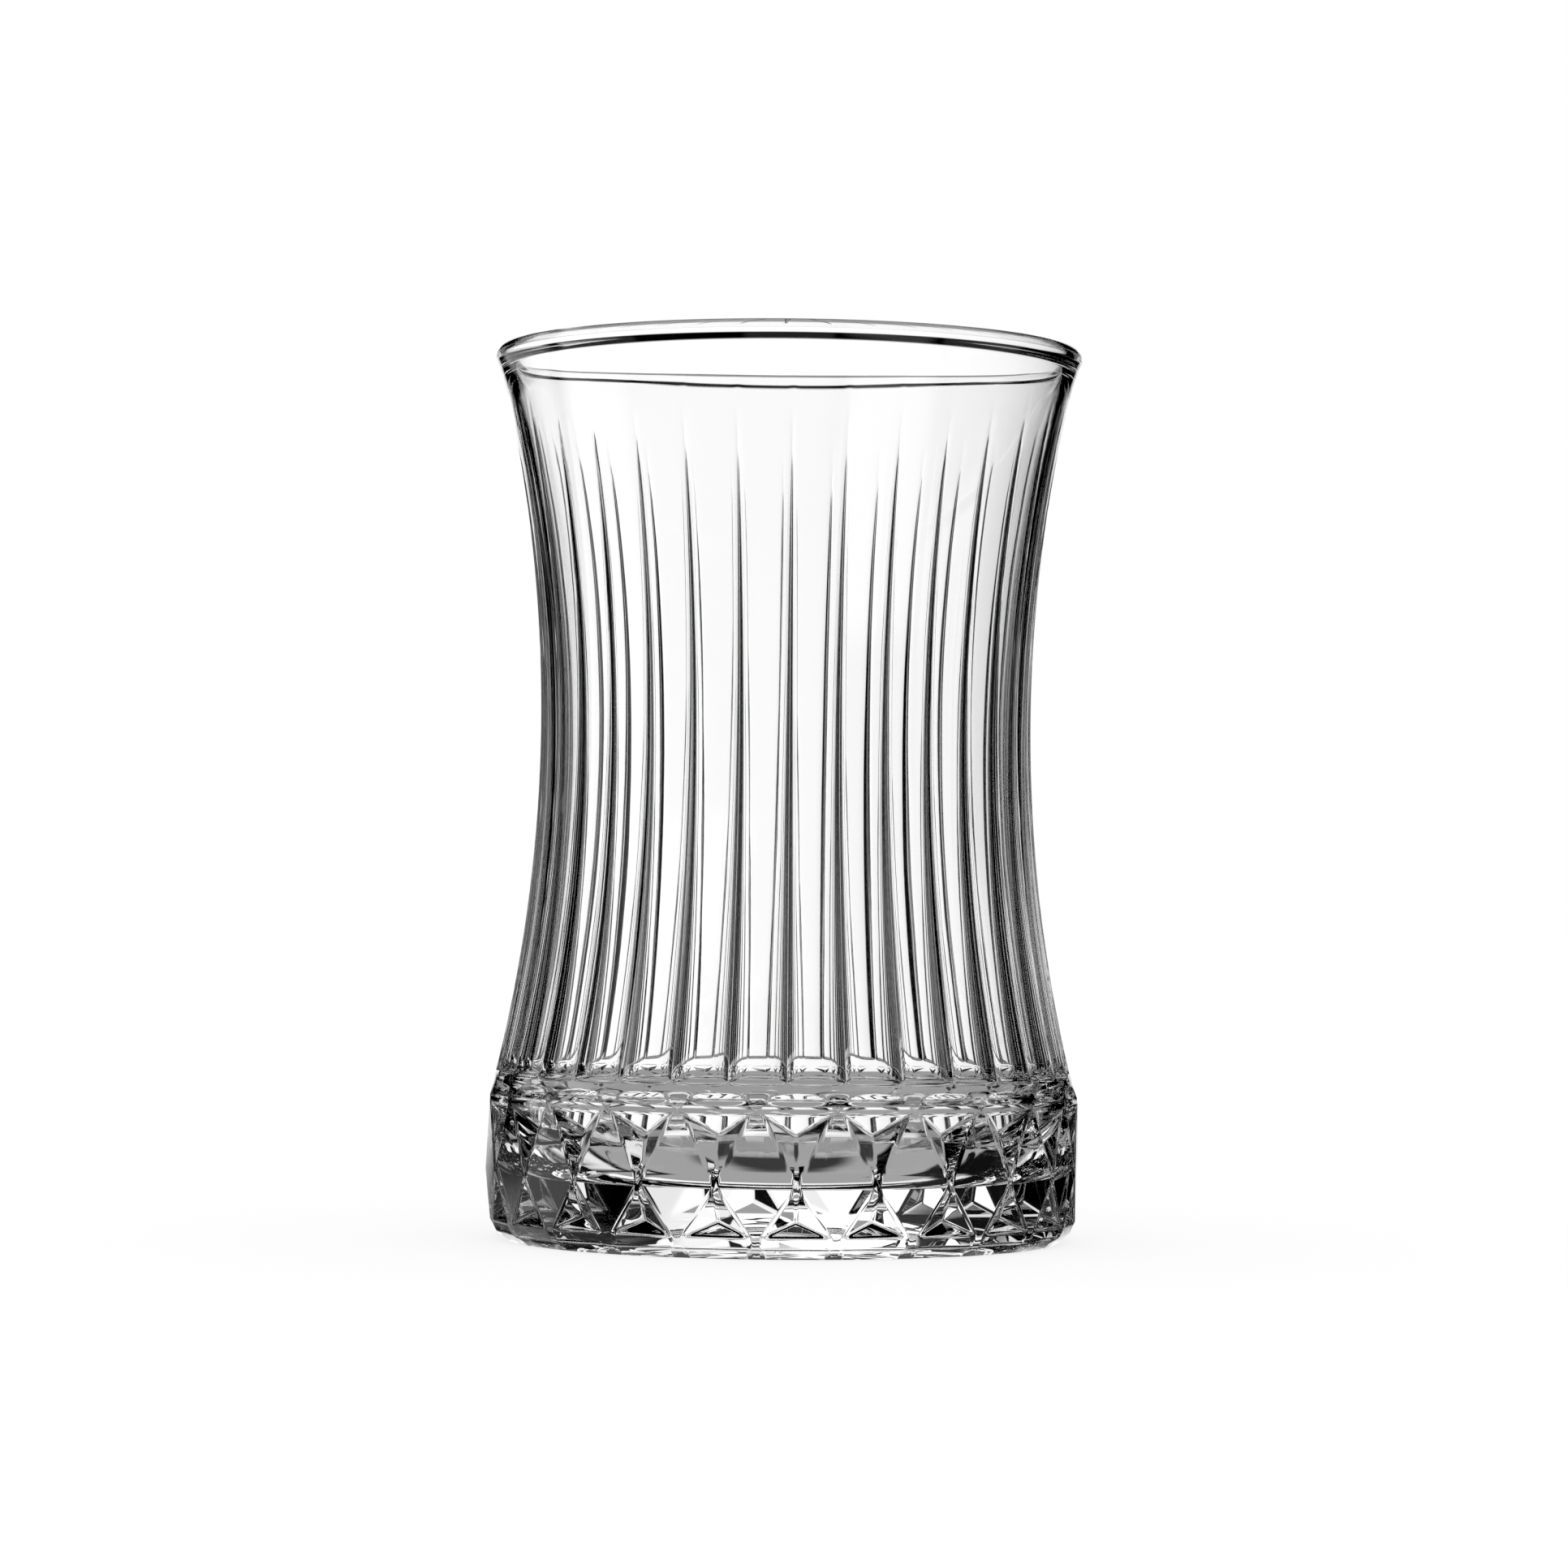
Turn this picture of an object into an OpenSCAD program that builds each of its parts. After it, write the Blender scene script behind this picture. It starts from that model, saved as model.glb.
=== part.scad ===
// Chai glass: one piece of pressed clear glass with an hourglass wall, hollow flutes and a faceted foot band.
// The origin is the centre of the resting face, and +Z goes up to the rim.

/* [Body] */
// overall height, from the table to the top of the rim
height = 90; // [88:0.5:93]
// width of the foot band across its widest corners
band_d = 60; // [59.5:0.1:61]
// height of the narrowest place of the wall
waist_z = 52.2; // [50:0.1:54]
// how far the wall draws in from the edge of the band to its waist
waist_in = 5.2; // [5:0.1:5.5]

/* [Rim] */
// thickness of the rounded rim bead
bead_w = 1.9; // [1.7:0.05:2.1]
// how far the bead stands out from the wall
bead_out = 0.35; // [0.25:0.05:0.5]
// height of the smooth collar between the bead and the flutes
collar_h = 5.55; // [4:0.25:7]

/* [Inside] */
// thickness of the wall at the waist, at the ridges
wall_w = 2.1; // [2:0.05:2.3]
// thickness of the wall just under the bead
rim_w = 1.15; // [1:0.05:1.3]
// how far the narrowest place inside lies below the waist
bore_drop = 2.2; // [1:0.1:4]
// height of the inside floor above the table
floor_z = 6.3; // [5.5:0.1:7]
// radius of the inside corner between floor and wall
floor_corner_r = 9; // [8:0.25:11]

/* [Flutes] */
// number of flutes round the wall
flute_count = 32; // [28:1:36]
// depth of a flute near its foot, from where it fades to nothing at the collar
flute_depth = 0.75; // [0.5:0.05:0.85]
// how far above the foot band the flutes run out
flute_gap = 0.75; // [0.7:0.05:3]
// height over which the flutes grow to their full depth
flute_run = 0.5; // [0.4:0.1:4]

/* [Foot band] */
// height of the foot band's upper edge
band_z = 16; // [15.5:0.1:16.5]
// number of facet cells round the band
cell_count = 24; // [22:1:26]
// how far the wall stands back from the edge of the band at the band's height
shoulder_w = 0.76; // [0.7:0.02:0.85]
// how far the corners of the resting face lie in from the edge of the band
foot_in = 2; // [1.5:0.1:2.3]
// depth of the pits pressed into the lower row of facets
low_pit_depth = 1.6; // [1:0.05:1.8]
// depth of the pits pressed into the upper row of facets
high_pit_depth = 1.8; // [1:0.05:2]
// depth of the hollow under the foot
punt_depth = 3; // [2:0.1:3.5]
// width of the resting ring round the hollow
rest_w = 6; // [4:0.25:8]

/* [Hidden] */
$fn = 128;

// The heights of the band's facet corners, from the table up, as shares of the band's height.
edge_share = 0.0625;
low_share = 0.134;
low_pit_share = 0.225;
middle_share = 0.4375;
high_pit_share = 0.7375;
high_share = 0.8656;
bevel_share = 0.9125;
tuck_share = 1.0375;

// How far the same corners stand out, as shares of the band's width.
edge_d_share = 0.97;
low_d_share = 0.9883;
high_d_share = 0.9933;
bevel_d_share = 0.9917;
tuck_d_share = 0.9667;

// How far a pit's corners lie in from the two ends of its cell, as a share of the cell's width.
inset_share = 0.083;

// The wall's lowest edge, which is hidden inside the band, and the height at which it starts to turn in to it.
wall_foot_share = 0.9625;
wall_foot_d_share = 0.95;
wall_turn_share = 1.0125;

// How far the collar covers the upper end of the flutes, and how far it stands out from them.
overlap = bead_w / 4;
lip = bead_w / 40;

// Each flute is drawn with this many flat strips across, and this many steps along it.
strips = 4;
steps = 7;

// A flute's hollow is nearly flat in the middle and steep beside its ridges, as across to this power.
flute_power = 4;

// The radius, at height z, of an hourglass curve that is upright and narrowest at its waist.
function hourglass(narrow_r, narrow_z, curve_r, z) =
    narrow_r + curve_r - sqrt(curve_r * curve_r - (z - narrow_z) * (z - narrow_z));

// The radius of an arc that has moved sideways by rise at a distance run from where it is upright.
function arc_r(run, rise) = (run * run + rise * rise) / (2 * rise);

// The outside of the wall goes from the band's shoulder over the waist to the bead.
band_r = band_d / 2;
waist_r = band_r - waist_in;
outer_curve_r = arc_r(waist_z - band_z, waist_in - shoulder_w);
bead_r = bead_w / 2;
bead_z = height - bead_r;
rim_r = hourglass(waist_r, waist_z, outer_curve_r, bead_z);
collar_z = bead_z - collar_h;
wall_high_z = collar_z + overlap;

// The flutes begin above the band, and the hollow under the foot leaves the resting ring.
flute_foot_z = band_z + flute_gap;
flute_full_z = flute_foot_z + flute_run;
foot_r = band_r - foot_in;
punt_r = arc_r(foot_r - rest_w, punt_depth);

// The inside of the wall.
bore_r = waist_r - wall_w;
bore_z = waist_z - bore_drop;
inner_curve_r = arc_r(bead_z - bore_z, rim_r - rim_w - bore_r);

// How deep a flute is at height z, and at a place across it that runs from -1 at one ridge to 1 at the next.
function hollow(z, across) =
    let (fade = z <= flute_foot_z ? 0 : sqrt(max(0, (collar_z - z) / (collar_z - flute_full_z))))
    flute_depth * fade * (1 - pow(abs(across), flute_power));

// The fluted wall, from inside the band up to inside the collar. Its corners are counted round, then up.
module fluted_wall() {
    columns = flute_count * strips;
    heights = [
        band_z * wall_foot_share,
        band_z * wall_turn_share,
        flute_foot_z,
        for (k = [0 : steps]) flute_full_z + (wall_high_z - flute_full_z) * k / steps
    ];
    rows = len(heights);
    corners = [
        for (k = [0 : rows - 1])
            for (i = [0 : columns - 1])
                let (
                    z = heights[k],
                    across = 2 * (i % strips) / strips - 1,
                    wall_r = hourglass(waist_r, waist_z, outer_curve_r, z) - hollow(z, across),
                    r = k == 0 ? band_r * wall_foot_d_share : wall_r,
                    a = (i / strips - 1 / 2) * 360 / flute_count - 90
                )
                [r * cos(a), r * sin(a), z]
    ];
    sides = [
        for (k = [0 : rows - 2])
            for (i = [0 : columns - 1])
                let (a = k * columns + i, b = k * columns + (i + 1) % columns)
                each [[a, a + columns, b], [b, a + columns, b + columns]]
    ];
    bottom = [for (i = [0 : columns - 1]) i];
    top = [for (i = [0 : columns - 1]) rows * columns - 1 - i];
    polyhedron(points = corners, faces = concat(sides, [bottom, top]));
}

// The smooth upper wall, above the flutes.
module collar() {
    rotate_extrude() difference() {
        translate([0, collar_z]) square([rim_r + bead_w, bead_z - collar_z]);
        translate([waist_r + outer_curve_r + lip, waist_z]) circle(r = outer_curve_r);
    }
}

module bead() {
    rotate_extrude() translate([rim_r + bead_out - bead_r, bead_z]) circle(r = bead_r);
}

// A ring of two corners for each cell, which lie in a little from the cell's two ends.
function side_ring(z_share, d_share) = [
    for (i = [0 : 2 * cell_count - 1])
        let (
            turn = floor(i / 2) + (i % 2 == 0 ? inset_share : 1 - inset_share),
            a = turn * 360 / cell_count - 90,
            r = band_r * d_share
        )
        [r * cos(a), r * sin(a), band_z * z_share]
];

// A ring of one corner in the middle of each cell, at a given depth below the band's width.
function middle_ring(z_share, depth) = [
    for (i = [0 : cell_count - 1])
        let (a = (i + 1 / 2) * 360 / cell_count - 90, r = band_r - depth)
        [r * cos(a), r * sin(a), band_z * z_share]
];

// The pressed band: two rows of pits between flat facets, one pit of each row in each cell.
module band() {
    round = 2 * cell_count;
    sides = concat(
        side_ring(0, foot_r / band_r),
        side_ring(edge_share, edge_d_share),
        side_ring(low_share, low_d_share),
        side_ring(high_share, high_d_share),
        side_ring(bevel_share, bevel_d_share),
        side_ring(tuck_share, tuck_d_share)
    );
    middles = concat(
        middle_ring(low_pit_share, low_pit_depth),
        middle_ring(middle_share, 0),
        middle_ring(high_pit_share, high_pit_depth)
    );
    low = 2 * round;
    high = 3 * round;
    low_pit = 6 * round;
    middle = low_pit + cell_count;
    high_pit = middle + cell_count;
    rings = [
        for (row = [0, 1, 3, 4])
            for (i = [0 : round - 1])
                let (a = row * round, b = (i + 1) % round)
                [a + i, a + round + i, a + round + b, a + b]
    ];
    pits = [
        for (i = [0 : cell_count - 1])
            let (left = 2 * i, right = 2 * i + 1, next = (2 * i + 2) % round, j = (i + 1) % cell_count)
            each [
                [low + left, low_pit + i, low + right],
                [low + left, middle + i, low_pit + i],
                [low + right, low_pit + i, middle + i],
                [low + right, middle + i, middle + j, low + next],
                [middle + i, high + right, high + next, middle + j],
                [middle + i, high + left, high_pit + i],
                [middle + i, high_pit + i, high + right],
                [high + left, high + right, high_pit + i]
            ]
    ];
    bottom = [for (i = [0 : round - 1]) i];
    top = [for (i = [0 : round - 1]) 6 * round - 1 - i];
    polyhedron(points = concat(sides, middles), faces = concat(rings, pits, [bottom, top]));
}

// The centre of the rounded inside corner, and the height at which it runs into the hourglass curve.
corner_z = floor_z + floor_corner_r;
corner_reach = inner_curve_r + floor_corner_r;
corner_x = bore_r + inner_curve_r - sqrt(corner_reach * corner_reach - (bore_z - corner_z) * (bore_z - corner_z));
corner_end_z = corner_z + floor_corner_r * (bore_z - corner_z) / corner_reach;

// The room for the drink, open at the rim.
module inside() {
    rotate_extrude() {
        difference() {
            translate([0, corner_end_z]) square([rim_r, height - corner_end_z]);
            translate([bore_r + inner_curve_r, bore_z]) circle(r = inner_curve_r);
        }
        translate([0, floor_z]) square([corner_x, corner_end_z - floor_z + overlap]);
        intersection() {
            translate([corner_x, corner_z]) circle(r = floor_corner_r);
            translate([0, floor_z - overlap]) square([band_r, corner_end_z - floor_z + overlap]);
        }
    }
}

module glass() {
    color("lightcyan") union() {
        difference() {
            union() {
                fluted_wall();
                collar();
                band();
            }
            inside();
            translate([0, 0, punt_depth - punt_r]) sphere(r = punt_r);
        }
        bead();
    }
}

glass();
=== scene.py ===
import math
import bmesh
import bpy
from mathutils import Matrix, Vector


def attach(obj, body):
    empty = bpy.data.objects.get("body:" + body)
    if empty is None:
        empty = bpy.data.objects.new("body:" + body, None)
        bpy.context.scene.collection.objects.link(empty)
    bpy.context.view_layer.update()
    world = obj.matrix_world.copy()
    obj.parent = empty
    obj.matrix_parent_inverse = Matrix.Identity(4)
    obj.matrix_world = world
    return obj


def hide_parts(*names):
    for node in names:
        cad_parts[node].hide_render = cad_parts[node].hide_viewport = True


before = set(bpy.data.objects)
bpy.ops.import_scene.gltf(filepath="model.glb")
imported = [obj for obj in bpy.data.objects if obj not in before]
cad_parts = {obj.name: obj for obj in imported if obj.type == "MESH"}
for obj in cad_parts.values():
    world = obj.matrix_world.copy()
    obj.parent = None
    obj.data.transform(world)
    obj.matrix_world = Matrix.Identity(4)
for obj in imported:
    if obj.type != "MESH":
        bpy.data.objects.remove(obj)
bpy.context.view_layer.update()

# Sizes are in metres, and the main ones are the CAD source's. Z is up from the centre of the resting face.
MM = 0.001
HEIGHT = 90 * MM
# The narrowest place of the outside and of the inside: its radius and height, and the radius of the curve.
WAIST_R, WAIST_Z, OUTER_CURVE_R = 24.8 * MM, 52.2 * MM, 150 * MM
BORE_R, BORE_Z, INNER_CURVE_R = 22.7 * MM, 50 * MM, 140 * MM
# The rounded bead: its own radius, and how far out from the axis it reaches.
BEAD_R, BEAD_OUT_R = 0.95 * MM, 29.75 * MM
BEAD_Z = HEIGHT - BEAD_R
BEAD_X = BEAD_OUT_R - BEAD_R
# How far the wall flares out where it runs into the bead, and the height at which it begins to.
NECK, NECK_Z = 0.25 * MM, 85.5 * MM
# The height of the floor inside, and the radius of the rounded corner between it and the wall.
FLOOR_Z, CORNER_R = 6.3 * MM, 9 * MM
# The heights of the flutes' upper ends, of their feet, and of the place where they reach their full depth.
COLLAR_Z, FLUTE_FOOT_Z, FLUTE_FULL_Z = 83.5 * MM, 16.75 * MM, 17.25 * MM
FLUTE_DEPTH = 0.9 * MM
# A flute's depth fades upwards as the height that is left, to this power. The last share of it ends softly.
FADE_POWER, FADE_END = 0.85, 0.1
# How flat a flute is between its ridges: as its place across to this power, at its foot and at the collar.
FOOT_POWER, TOP_POWER = 4.5, 20.0
FLUTES, CELLS, SECTORS = 32, 24, 8
# The mesh's columns across one flute, across one sector, and across one facet cell.
FLUTE_COLUMNS = 18
COLUMNS = FLUTES * FLUTE_COLUMNS // SECTORS
CELL_COLUMNS = COLUMNS * SECTORS // CELLS
SECTOR_CELLS = CELLS // SECTORS
# From this height up the columns spread out again, until they are evenly spaced at the collar.
SPREAD_Z = 78 * MM
BAND_Z = 16 * MM
# The mesh's rows on the wall: one between band and flutes, and the lowest and highest of the open wall.
TURN_Z, WALL_LOW_Z, WALL_TOP_Z = 16.4 * MM, 18.5 * MM, 88.2 * MM
# The highest row inside, just under the bead.
INSIDE_TOP_Z = 87.9 * MM
# Where the bead leaves the outer and the inner wall, in degrees up from its outermost side.
BEAD_START, BEAD_END = -24, 216
# The hollow under the foot: its depth, its radius, and the width over which its edge turns flat.
PUNT_DEPTH, PUNT_R, PUNT_EDGE = 3.0 * MM, 22 * MM, 0.6 * MM
# The radii of the mesh's rings on the flat floor inside and in the hollow under the foot.
FLOOR_RINGS = (15 * MM, 9 * MM, 4 * MM, 1.5 * MM)
PUNT_RINGS = (1.5 * MM, 5 * MM, 10 * MM, 15 * MM, 19 * MM, 21.2 * MM, PUNT_R)

# The photograph was taken from a little to one side of the pattern's plane.
CAMERA_TURN = math.radians(4.8)

# Corners of one facet cell of the band: height and distance from the axis, in metres.
FOOT = (0.0, 28.0 * MM)
EDGE = (1.0 * MM, 29.1 * MM)
LOW = (2.15 * MM, 29.65 * MM)
LOW_PIT = (3.6 * MM, 28.4 * MM)
MIDDLE = (7.0 * MM, 30.0 * MM)
HIGH_PIT = (11.8 * MM, 28.2 * MM)
HIGH = (13.85 * MM, 29.8 * MM)
BEVEL = (14.6 * MM, 29.75 * MM)
# How many columns a pit's corners lie in from the two ends of its cell.
INSET = 2
# The oval cut into the shoulder above each cell: its depth, and its width as a share of the cell's.
OVAL_DEPTH, OVAL_SHARE = 0.35 * MM, 0.72
# Its middle's place up the shoulder, and how far it reaches from there, as shares of the shoulder.
OVAL_MIDDLE, OVAL_REACH = 0.45, 0.4
# The width of the rounded strip that replaces a sharp edge of the band.
SOFT_W = 0.32 * MM
# Faces that meet at less than the first angle are one flat facet. Past the second their edge is sharp.
FLAT_ANGLE, SHARP_ANGLE = math.radians(0.4), math.radians(2)
# Shorter edges than these are kept inside a flat facet, and kept sharp.
CLEARED_EDGE, SOFT_EDGE = 2 * MM, 1 * MM


def hourglass(z, narrow_r, narrow_z, curve_r):
    """The radius at height z of a curve that is upright and narrowest at its waist."""
    return narrow_r + curve_r - math.sqrt(curve_r ** 2 - (z - narrow_z) ** 2)


def outer_r(z):
    return hourglass(z, WAIST_R, WAIST_Z, OUTER_CURVE_R)


def inner_r(z):
    return hourglass(z, BORE_R, BORE_Z, INNER_CURVE_R)


def smooth(low, high, x):
    """0 below low, 1 above high, and a smooth rise between them."""
    s = min(max((x - low) / (high - low), 0), 1)
    return s * s * (3 - 2 * s)


def flute_fade(z):
    """How deep the flutes are at height z, as a share of their full depth."""
    rise = smooth(FLUTE_FOOT_Z, FLUTE_FULL_Z, z)
    fall = min(max((COLLAR_Z - z) / (COLLAR_Z - FLUTE_FULL_Z), 0), 1)
    return rise * smooth(0, FADE_END, fall) * fall ** FADE_POWER


def spaced(low, high, count):
    """Numbers from low to high, with count even spaces between them."""
    return [low + (high - low) * k / count for k in range(count + 1)]


def polar(angle, r, z):
    return Vector((r * math.cos(angle), r * math.sin(angle), z))


class Sector:
    """One eighth of the glass: four flutes and three facet cells, open along its two cut edges."""

    def __init__(self):
        self.points, self.faces, self.facets = [], [], []

    def point(self, p):
        self.points.append(p)
        return len(self.points) - 1

    def face(self, corners, facet=0):
        """Adds a face. facet is 1 for a flat facet of the band."""
        self.faces.append(corners)
        self.facets.append(facet)

    def row(self, r, z, angles=None):
        """One row of corners at height z, where r is the radius or a function that gives it at an angle."""
        return [self.point(polar(a, r(a) if callable(r) else r, z)) for a in angles or EVEN]

    def strip(self, low, high):
        """Quads between two rows. low lies below high on an outside surface."""
        for i in range(len(low) - 1):
            self.face((low[i], low[i + 1], high[i + 1], high[i]))


START = -math.pi / 2
SPAN = 2 * math.pi / SECTORS
STEP = SPAN / COLUMNS
EVEN = [START + SPAN * i / COLUMNS for i in range(COLUMNS + 1)]


def flute_side(angle):
    """0 in the middle of a flute and 1 at its ridges."""
    turn = (angle - START) * FLUTES / (2 * math.pi) % 1
    return 2 * min(turn, 1 - turn)


def column_angles(z):
    """The columns' angles at height z: closer together at the ridges wherever there are flutes."""
    crowd = min(smooth(BAND_Z, FLUTE_FULL_Z, z), 1 - smooth(SPREAD_Z, COLLAR_Z, z))
    angles = []
    for i in range(COLUMNS + 1):
        flute, k = divmod(i, FLUTE_COLUMNS)
        side = 1 - abs(2 * k / FLUTE_COLUMNS - 1)
        near = (1 - (1 - side) ** 2) / 2
        share = near if 2 * k <= FLUTE_COLUMNS else 1 - near
        crowded = START + (flute + share) * 2 * math.pi / FLUTES
        angles.append(EVEN[i] + (crowded - EVEN[i]) * crowd)
    return angles


def wall_rows(sector):
    """The outside wall, from the band's upper edge to just under the bead."""
    rows = []
    feet = [BAND_Z, TURN_Z] + spaced(FLUTE_FOOT_Z, FLUTE_FULL_Z, count=4)
    for z in feet + spaced(WALL_LOW_Z, WALL_TOP_Z, count=34):
        depth = FLUTE_DEPTH * flute_fade(z)
        flare = NECK * smooth(NECK_Z, BEAD_Z, z)
        power = FOOT_POWER + (TOP_POWER - FOOT_POWER) * smooth(FLUTE_FULL_Z, COLLAR_Z, z)
        rows.append(sector.row(
            lambda a: outer_r(z) + flare - depth * (1 - flute_side(a) ** power), z, column_angles(z)))
    return rows


def shoulder_rows(sector):
    """The sloping shoulder between band and wall, with a shallow oval cut above the middle of each cell."""
    rows = []
    for t in spaced(0, 1, count=12)[1:-1]:
        row = []
        for i, a in enumerate(EVEN):
            place = on_sides(BEVEL, i).lerp(polar(a, outer_r(BAND_Z), BAND_Z), t)
            across = (2 * (i % CELL_COLUMNS) / CELL_COLUMNS - 1) / OVAL_SHARE
            up = (t - OVAL_MIDDLE) / OVAL_REACH
            hollow = OVAL_DEPTH * max(0, 1 - across ** 2 - up ** 2)
            row.append(sector.point(place - polar(a, hollow, 0)))
        rows.append(row)
    return rows


def rim_rows(sector):
    """The rounded bead, from its outer foot over the top to its inner foot."""
    rows = []
    for a in spaced(BEAD_START, BEAD_END, count=14):
        turn = math.radians(a)
        r, z = BEAD_X + BEAD_R * math.cos(turn), BEAD_Z + BEAD_R * math.sin(turn)
        rows.append(sector.row(r, z))
    return rows


def inside_rows(sector):
    """The inside, from under the bead down to a small ring round the middle of the floor."""
    rows = []
    reach = INNER_CURVE_R + CORNER_R
    corner_z = FLOOR_Z + CORNER_R
    corner_x = BORE_R + INNER_CURVE_R - math.sqrt(reach ** 2 - (BORE_Z - corner_z) ** 2)
    slope = math.asin((BORE_Z - corner_z) / reach)
    end_z = corner_z + CORNER_R * math.sin(slope)
    for z in spaced(INSIDE_TOP_Z, end_z, count=24):
        rows.append(sector.row(inner_r(z), z))
    for turn in spaced(slope, -math.pi / 2, count=8)[1:]:
        r, z = corner_x + CORNER_R * math.cos(turn), corner_z + CORNER_R * math.sin(turn)
        rows.append(sector.row(r, z))
    for r in FLOOR_RINGS:
        rows.append(sector.row(r, FLOOR_Z))
    return rows


def foot_rows(sector):
    """The hollow under the foot, from its small middle ring out to its edge."""
    curve_r = (PUNT_DEPTH ** 2 + PUNT_R ** 2) / (2 * PUNT_DEPTH)
    rows = []
    for r in PUNT_RINGS:
        z = PUNT_DEPTH - (curve_r - math.sqrt(curve_r ** 2 - r ** 2))
        rows.append(sector.row(r, z))
    rows.append(sector.row(PUNT_R + PUNT_EDGE, 0.0))
    return rows


def corner_columns():
    """The columns, over one sector, at which the straight sides of the band meet."""
    starts = [k * CELL_COLUMNS for k in range(-1, SECTOR_CELLS + 1)]
    return sorted(start + side for start in starts for side in (INSET, CELL_COLUMNS - INSET))


def on_sides(corner, column):
    """A point of the band's many-sided outline at one height. Its column may lie between two corners."""
    z, r = corner
    ends = corner_columns()
    low = max(c for c in ends if c <= column)
    high = min(c for c in ends if c >= column)
    share = (column - low) / (high - low) if high > low else 0
    return polar(START + low * STEP, r, z).lerp(polar(START + high * STEP, r, z), share)


def side_row(sector, corner, columns=None):
    """A row on the band's straight sides, as a dictionary from column to corner number."""
    return {c: sector.point(on_sides(corner, c)) for c in (columns or range(COLUMNS + 1))}


def band(sector, foot, bevel):
    """The pressed facets between the foot's row and the bevel's row."""
    starts = [k * CELL_COLUMNS for k in range(SECTOR_CELLS + 1)]
    ways = (0, INSET, CELL_COLUMNS - INSET, CELL_COLUMNS)
    turns = sorted({start + way for start in starts[:-1] for way in ways})
    edge, low, high = (side_row(sector, corner, turns) for corner in (EDGE, LOW, HIGH))
    end_z, end_r = MIDDLE[0], MIDDLE[1] * math.cos(math.pi / CELLS)
    ends = [sector.point(polar(START + start * STEP, end_r, end_z)) for start in starts]
    for k in range(SECTOR_CELLS):
        a, b = starts[k], starts[k + 1]
        left, right = a + INSET, b - INSET
        centre = START + (k + 0.5) * CELL_COLUMNS * STEP
        middles = [sector.point(polar(centre, r, z)) for z, r in (MIDDLE, LOW_PIT, HIGH_PIT)]
        middle, low_pit, high_pit = middles
        for c, d in ((a, left), (left, right), (right, b)):
            sector.face((*[foot[i] for i in range(c, d + 1)], edge[d], edge[c]), 1)
            sector.face((edge[c], edge[d], low[d], low[c]), 1)
            sector.face((high[c], high[d], *[bevel[i] for i in range(d, c - 1, -1)]), 1)
        sector.face((low[a], low[left], middle, ends[k]), 1)
        sector.face((low[right], low[b], ends[k + 1], middle), 1)
        sector.face((ends[k], middle, high[left], high[a]), 1)
        sector.face((middle, ends[k + 1], high[b], high[right]), 1)
        sector.face((low[left], low[right], low_pit), 1)
        sector.face((low[left], low_pit, middle), 1)
        sector.face((low[right], middle, low_pit), 1)
        sector.face((middle, high_pit, high[left]), 1)
        sector.face((middle, high[right], high_pit), 1)
        sector.face((high[left], high_pit, high[right]), 1)


def make_sector():
    """One eighth of the glass as an object, from the middle of the foot up, over the rim and down inside."""
    sector = Sector()
    foot_inner = foot_rows(sector)
    foot = side_row(sector, FOOT)
    bevel = side_row(sector, BEVEL)
    inside = inside_rows(sector)
    outside = foot_inner + [list(foot.values())]
    for low, high in zip(outside, outside[1:]):
        sector.strip(low, high)
    band(sector, foot, bevel)
    upper = [list(bevel.values())] + shoulder_rows(sector) + wall_rows(sector) + rim_rows(sector) + inside
    for low, high in zip(upper, upper[1:]):
        sector.strip(low, high)
    floor_middle = sector.point(Vector((0, 0, FLOOR_Z)))
    punt_middle = sector.point(Vector((0, 0, PUNT_DEPTH)))
    for i in range(COLUMNS):
        sector.face((inside[-1][i], inside[-1][i + 1], floor_middle))
        sector.face((foot_inner[0][i + 1], foot_inner[0][i], punt_middle))
    mesh = bpy.data.meshes.new("glass_sector")
    mesh.from_pydata(sector.points, [], sector.faces)
    facet = mesh.attributes.new("facet", "INT", "FACE")
    facet.data.foreach_set("value", sector.facets)
    made = bpy.data.objects.new("glass_sector", mesh)
    bpy.context.collection.objects.link(made)
    return made


class Shader:
    """A node socket with arithmetic, for writing node maths as plain formulas."""

    def __init__(self, tree, socket):
        self.tree, self.socket = tree, socket

    def node(self, kind, settings=None, values=None, out=0):
        """Adds a node. values maps input numbers or names to constants or other wrapped sockets."""
        made = self.tree.nodes.new(kind)
        for name, value in (settings or {}).items():
            setattr(made, name, value)
        for key, value in (values or {}).items():
            if isinstance(value, Shader):
                self.tree.links.new(value.socket, made.inputs[key])
            else:
                made.inputs[key].default_value = value
        return Shader(self.tree, made.outputs[out])

    def maths(self, operation, *values):
        return self.node("ShaderNodeMath", {"operation": operation}, dict(enumerate(values)))

    def __add__(self, other):
        return self.maths("ADD", self, other)

    __radd__ = __add__

    def __mul__(self, other):
        return self.maths("MULTIPLY", self, other)

    __rmul__ = __mul__

    def __sub__(self, other):
        return self.maths("SUBTRACT", self, other)

    def __rsub__(self, other):
        return self.maths("SUBTRACT", other, self)

    def step(self, low, high):
        """A smooth rise from 0 at low to 1 at high."""
        return self.node("ShaderNodeMapRange", {"interpolation_type": "SMOOTHSTEP"},
                         {"Value": self, "From Min": low, "From Max": high})

    def past(self, edge):
        """A smooth rise from 0 to 1 over an edge, which is a pair of angles in degrees."""
        low, high = edge
        return self.step(math.radians(low), math.radians(high))


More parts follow.
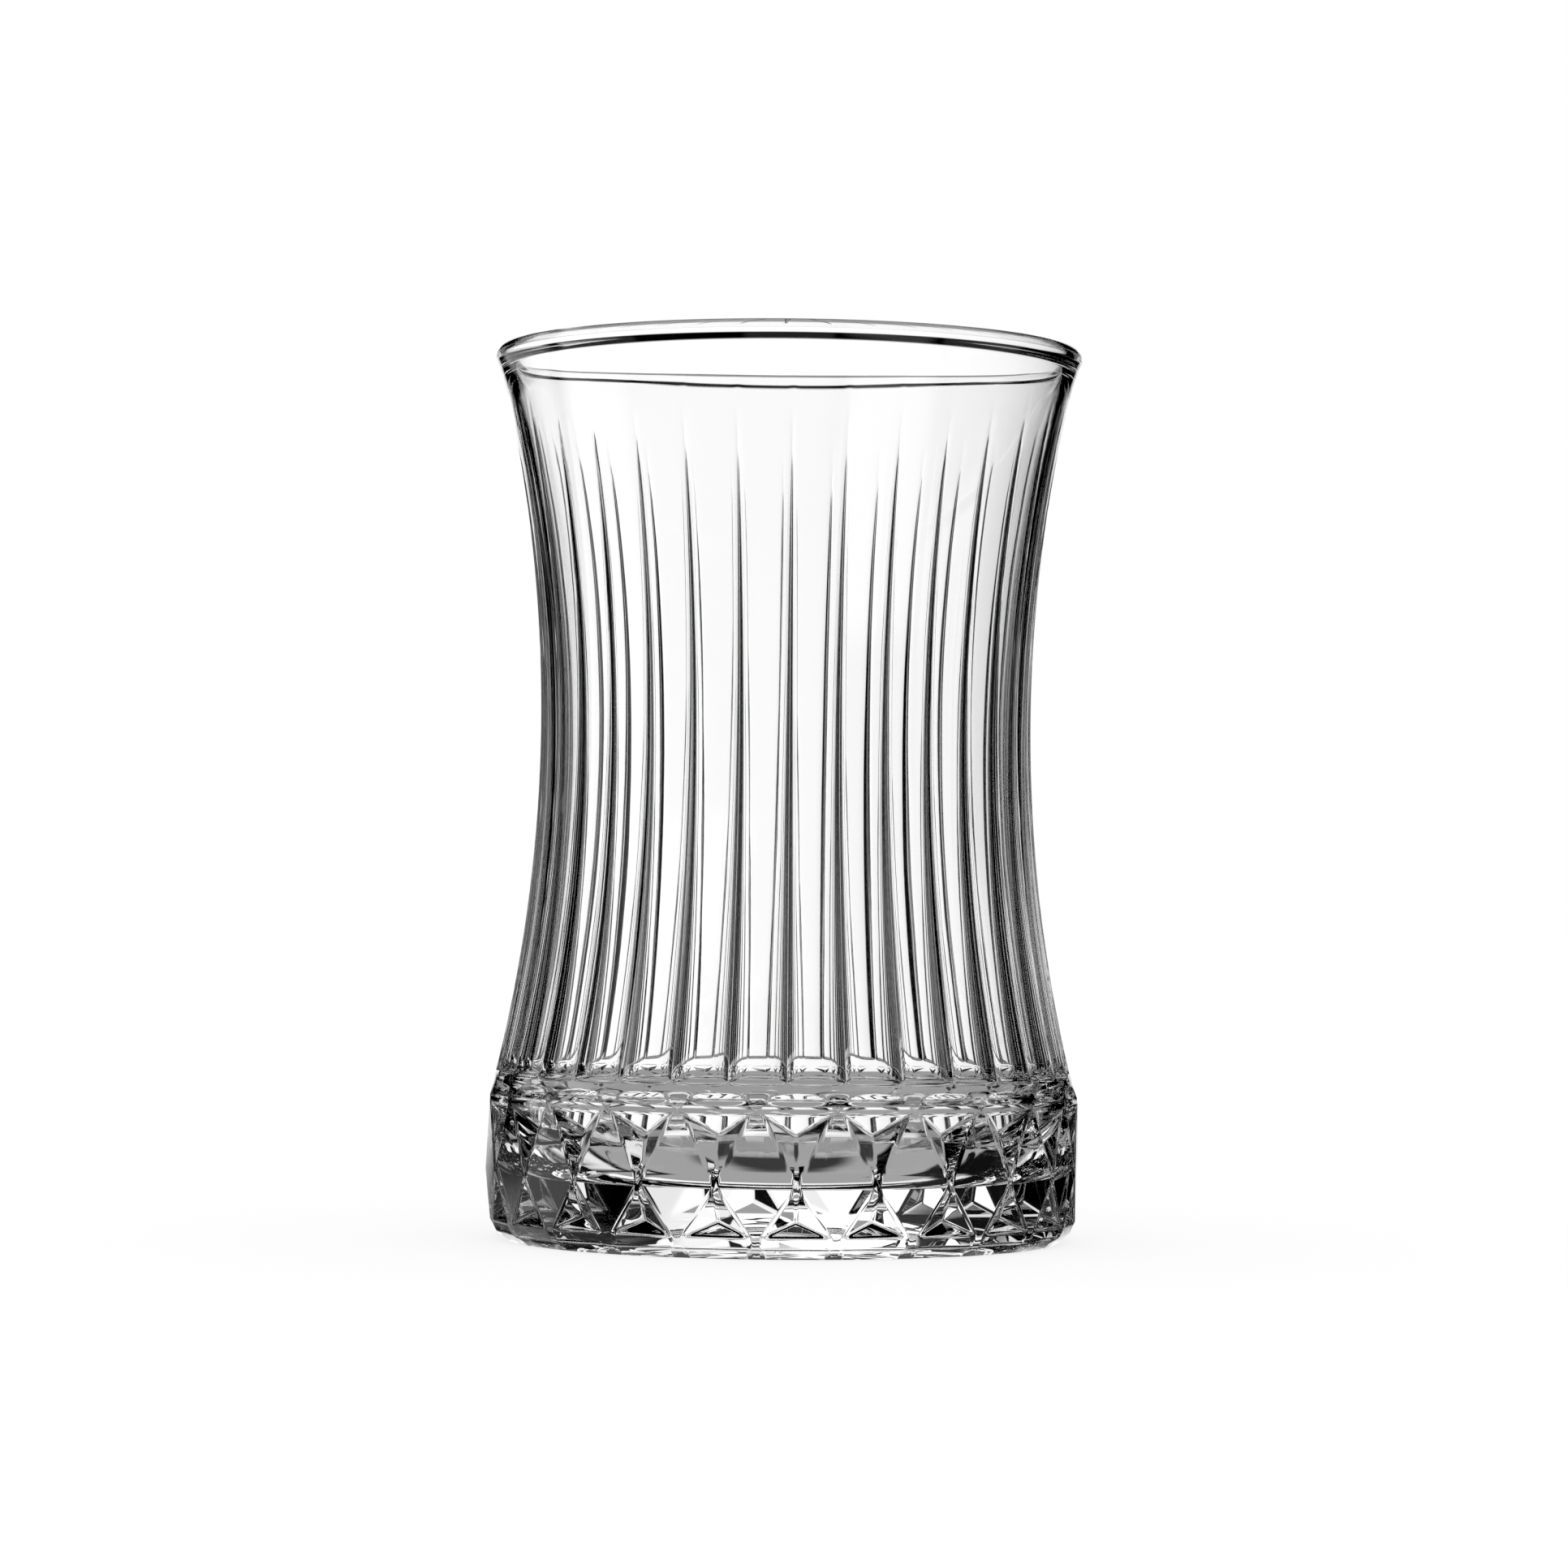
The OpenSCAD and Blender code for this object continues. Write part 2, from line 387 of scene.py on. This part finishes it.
def glass_material():
    """Clear soda-lime glass with the faint waviness of pressed glass and some hardly dull smears."""
    material = bpy.data.materials.new("clear_glass")
    material.use_nodes = True
    tree = material.node_tree
    shader = tree.nodes["Principled BSDF"]
    shader.inputs["Base Color"].default_value = (1, 1, 1, 1)
    shader.inputs["Transmission Weight"].default_value = 1
    shader.inputs["IOR"].default_value = 1.5
    start = Shader(tree, None)
    place = start.node("ShaderNodeTexCoord", out="Object")
    waves = start.node("ShaderNodeTexNoise", None, {"Vector": place, "Scale": 90.0, "Detail": 1.0})
    smears = start.node("ShaderNodeTexNoise", None, {"Vector": place, "Scale": 240.0, "Detail": 3.0})
    dullest = 0.012
    rough = smears.step(0.55, 0.8) * dullest
    bump = start.node("ShaderNodeBump", None, {"Strength": 0.06, "Distance": 0.4 * MM, "Height": waves},
                      out="Normal")
    tree.links.new(rough.socket, shader.inputs["Roughness"])
    tree.links.new(bump.socket, shader.inputs["Normal"])
    return material


def repeat_tree(material):
    """A node tree that turns one sector about Z until it closes the ring, and welds the seams."""
    tree = bpy.data.node_groups.new("glass_ring", "GeometryNodeTree")
    face = tree.interface
    face.new_socket("Geometry", in_out="INPUT", socket_type="NodeSocketGeometry")
    count = face.new_socket("Sectors", in_out="INPUT", socket_type="NodeSocketInt")
    weld = face.new_socket("Weld Distance", in_out="INPUT", socket_type="NodeSocketFloat")
    finish = face.new_socket("Material", in_out="INPUT", socket_type="NodeSocketMaterial")
    face.new_socket("Geometry", in_out="OUTPUT", socket_type="NodeSocketGeometry")
    nodes, links = tree.nodes, tree.links
    given, out = nodes.new("NodeGroupInput"), nodes.new("NodeGroupOutput")
    one = nodes.new("GeometryNodeGeometryToInstance")
    copies = nodes.new("GeometryNodeDuplicateElements")
    copies.domain = "INSTANCE"
    turn = nodes.new("ShaderNodeMath")
    turn.operation = "DIVIDE"
    turn.inputs[0].default_value = 2 * math.pi
    angle = nodes.new("ShaderNodeMath")
    angle.operation = "MULTIPLY"
    axis = nodes.new("ShaderNodeCombineXYZ")
    rotate = nodes.new("GeometryNodeRotateInstances")
    real = nodes.new("GeometryNodeRealizeInstances")
    merge = nodes.new("GeometryNodeMergeByDistance")
    shade = nodes.new("GeometryNodeSetShadeSmooth")
    paint = nodes.new("GeometryNodeSetMaterial")
    links.new(given.outputs["Geometry"], one.inputs[0])
    links.new(one.outputs[0], copies.inputs["Geometry"])
    links.new(given.outputs["Sectors"], copies.inputs["Amount"])
    links.new(given.outputs["Sectors"], turn.inputs[1])
    links.new(turn.outputs[0], angle.inputs[0])
    links.new(copies.outputs["Duplicate Index"], angle.inputs[1])
    links.new(angle.outputs[0], axis.inputs["Z"])
    links.new(copies.outputs["Geometry"], rotate.inputs["Instances"])
    links.new(axis.outputs[0], rotate.inputs["Rotation"])
    links.new(rotate.outputs[0], real.inputs[0])
    links.new(real.outputs[0], merge.inputs["Geometry"])
    links.new(given.outputs["Weld Distance"], merge.inputs["Distance"])
    links.new(merge.outputs[0], shade.inputs["Geometry"])
    links.new(shade.outputs[0], paint.inputs["Geometry"])
    links.new(given.outputs["Material"], paint.inputs["Material"])
    links.new(paint.outputs[0], out.inputs[0])
    values = {count.identifier: SECTORS, weld.identifier: 0.001 * MM, finish.identifier: material}
    return tree, values


def plain_mesh(source, name):
    """A new object with what source's modifiers make, and source removed."""
    seen = source.evaluated_get(bpy.context.evaluated_depsgraph_get())
    mesh = bpy.data.meshes.new_from_object(seen)
    mesh.name = name
    made = bpy.data.objects.new(name, mesh)
    bpy.context.collection.objects.link(made)
    bpy.data.objects.remove(source)
    return made


def soften_facets(mesh):
    """Clears the lines inside each flat facet and puts a narrow rounded strip where two facets meet."""
    bm = bmesh.new()
    bm.from_mesh(mesh)
    layer = bm.faces.layers.int["facet"]

    def on_band(edge):
        return len(edge.link_faces) == 2 and all(f[layer] for f in edge.link_faces)

    # The facets beside the foot and the bevel have a corner in every column, and keep their lines.
    flat = [e for e in bm.edges if on_band(e) and e.calc_face_angle(0) < FLAT_ANGLE
            and all(len(f.verts) < 6 for f in e.link_faces) and e.calc_length() > CLEARED_EDGE]
    bmesh.ops.dissolve_edges(bm, edges=flat, use_verts=True)
    sharp = [e for e in bm.edges if on_band(e) and e.calc_face_angle(0) > SHARP_ANGLE
             and e.calc_length() > SOFT_EDGE]
    bmesh.ops.bevel(bm, geom=sharp, offset=SOFT_W, offset_type="OFFSET", segments=3, profile=0.5,
                    affect="EDGES", clamp_overlap=True, material=-1)
    bmesh.ops.recalc_face_normals(bm, faces=bm.faces)
    bm.to_mesh(mesh)
    bm.free()


def glass_piece():
    """The whole glass as one closed mesh, with facets that look flat and edges that look soft."""
    material = glass_material()
    sector = make_sector()
    tree, values = repeat_tree(material)
    ring = sector.modifiers.new("ring", "NODES")
    ring.node_group = tree
    for key, value in values.items():
        ring[key] = value
    made = plain_mesh(sector, "pressed_glass")
    soften_facets(made.data)
    made.data.materials.clear()
    made.data.materials.append(material)
    made.data.polygons.foreach_set("material_index", [0] * len(made.data.polygons))
    made.data.polygons.foreach_set("use_smooth", [True] * len(made.data.polygons))
    facet = made.data.attributes["facet"].data
    band_points = {v for face, mark in zip(made.data.polygons, facet) if mark.value for v in face.vertices}
    group = made.vertex_groups.new(name="band")
    group.add(sorted(band_points), 1.0, "REPLACE")
    weigh = made.modifiers.new("weighted_normals", "WEIGHTED_NORMAL")
    weigh.vertex_group = group.name
    weigh.mode = "FACE_AREA"
    weigh.weight = 80
    weigh.keep_sharp = False
    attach(made, "root")
    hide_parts("glass")


def make_floor():
    """A plain pale floor that looks white to the camera and keeps a soft shadow of the glass.

    The glass doesn't show it: there the light tent's grey table takes its place.
    """
    bpy.ops.mesh.primitive_grid_add(x_subdivisions=4, y_subdivisions=4, size=6)
    floor = bpy.context.object
    floor.name = "floor"
    material = bpy.data.materials.new("pale_floor")
    material.use_nodes = True
    tree = material.node_tree
    tree.nodes.clear()
    start = Shader(tree, None)
    pale, glow_strength, glow_share = (0.9, 0.9, 0.9, 1), 1.06, 0.75
    diffuse = start.node("ShaderNodeBsdfDiffuse", None, {"Color": pale})
    glow = start.node("ShaderNodeEmission", None, {"Color": (1, 1, 1, 1), "Strength": glow_strength})
    mixed = start.node("ShaderNodeMixShader", None, {0: glow_share, 1: diffuse, 2: glow})
    path = tree.nodes.new("ShaderNodeLightPath")
    bent = start.maths("MAXIMUM", Shader(tree, path.outputs["Is Transmission Ray"]),
                       Shader(tree, path.outputs["Is Glossy Ray"]))
    clear = start.node("ShaderNodeBsdfTransparent")
    shown = start.node("ShaderNodeMixShader", None, {0: bent, 1: mixed, 2: clear})
    out = tree.nodes.new("ShaderNodeOutputMaterial")
    tree.links.new(shown.socket, out.inputs["Surface"])
    floor.data.materials.append(material)


# Edges between the parts of the light tent, in degrees from a panel's middle or up from the horizon.
PANEL_SIDE, PANEL_TOP = (14, 19), (17, 22)
TABLE_SIDE, TABLE_EDGE = (18, 22), (-26, -20)
UNDER_EDGE, DEEP_EDGE = (-47, -43), (-78, -68)
CORNER_FOOT, CORNER_TOP = (-42, -38), (-6, -3)
# How bright the panels are on their dull side and how much brighter on the other, and where that other is.
PANEL_LEAST, PANEL_MORE, BRIGHT_TURN = 0.1, 1.2, math.pi / 5.5
# How bright the table is, how much darker straight below the glass, and how bright the corner lights are.
TABLE_GREY, DEEP_LOSS, CORNER_GREY = 0.38, 0.34, 0.85


def make_world():
    """A light tent, which is plain white to the camera and to the floor.

    In the glass it shows as four upright white panels with black gaps between them, over a grey table
    that is dark straight below the glass, and with a light low in two opposite corners.
    """
    world = bpy.data.worlds.new("tent")
    bpy.context.scene.world = world
    world.use_nodes = True
    tree = world.node_tree
    tree.nodes.clear()
    start = Shader(tree, None)
    place = start.node("ShaderNodeTexCoord", out="Generated")
    split = tree.nodes.new("ShaderNodeSeparateXYZ")
    tree.links.new(place.socket, split.inputs[0])
    x, y, z = (Shader(tree, s) for s in split.outputs)
    turn = start.maths("ARCTAN2", x, y) + CAMERA_TURN
    # The angle from the middle of the nearest of the four panels, and that above the horizon, in radians.
    off = start.maths("ABSOLUTE", start.maths("PINGPONG", turn + math.pi / 4, math.pi / 2) - math.pi / 4)
    rise = start.maths("ARCSINE", z)
    table = 1.0 - rise.past(TABLE_EDGE)
    bright_side = start.maths("MAXIMUM", start.maths("COSINE", turn + BRIGHT_TURN), 0.0)
    share = PANEL_LEAST + bright_side * PANEL_MORE
    panels = (1.0 - off.past(PANEL_SIDE)) * share * (1.0 - rise.past(PANEL_TOP))
    corner = (0.0 - start.maths("SINE", turn * 2.0)).step(0.7, 0.9)
    corner_light = corner * rise.past(CORNER_FOOT) * (1.0 - rise.past(CORNER_TOP))
    before_panel = 1.0 - off.past(TABLE_SIDE)
    under = 1.0 - rise.past(UNDER_EDGE)
    deep = 1.0 - rise.past(DEEP_EDGE)
    table_light = table * start.maths("MAXIMUM", before_panel, under) * (TABLE_GREY - deep * DEEP_LOSS)
    grey = panels * (1.0 - table) + table_light + corner_light * CORNER_GREY
    path = tree.nodes.new("ShaderNodeLightPath")
    camera = Shader(tree, path.outputs["Is Camera Ray"])
    diffuse = Shader(tree, path.outputs["Is Diffuse Ray"])
    plain = start.maths("MAXIMUM", camera, diffuse)
    strength = plain + (1.0 - plain) * grey
    light = start.node("ShaderNodeBackground", None, {"Color": (1, 1, 1, 1), "Strength": strength})
    out = tree.nodes.new("ShaderNodeOutputWorld")
    tree.links.new(light.socket, out.inputs["Surface"])


# The camera's distance from the glass's axis and its height, the point it looks at, its lens and its roll.
EYE_DISTANCE, EYE_Z, LOOK_AT = 0.5, 0.036, Vector((-0.00015, 0, 0.046))
SENSOR, LENS, ROLL = 36, 113.3, math.radians(0.5)


def make_camera():
    """Close in front and a little below the middle of the glass, as in the photograph."""
    data = bpy.data.cameras.new("camera")
    camera = bpy.data.objects.new("camera", data)
    bpy.context.collection.objects.link(camera)
    data.sensor_width = SENSOR
    data.lens = LENS
    eye = polar(CAMERA_TURN - math.pi / 2, EYE_DISTANCE, EYE_Z)
    look = (LOOK_AT - eye).to_track_quat("-Z", "Y").to_matrix().to_4x4()
    camera.matrix_world = Matrix.Translation(eye) @ look @ Matrix.Rotation(ROLL, 4, "Z")
    bpy.context.scene.camera = camera


glass_piece()
make_floor()
make_world()
make_camera()
bpy.context.scene.view_settings.view_transform = "Standard"
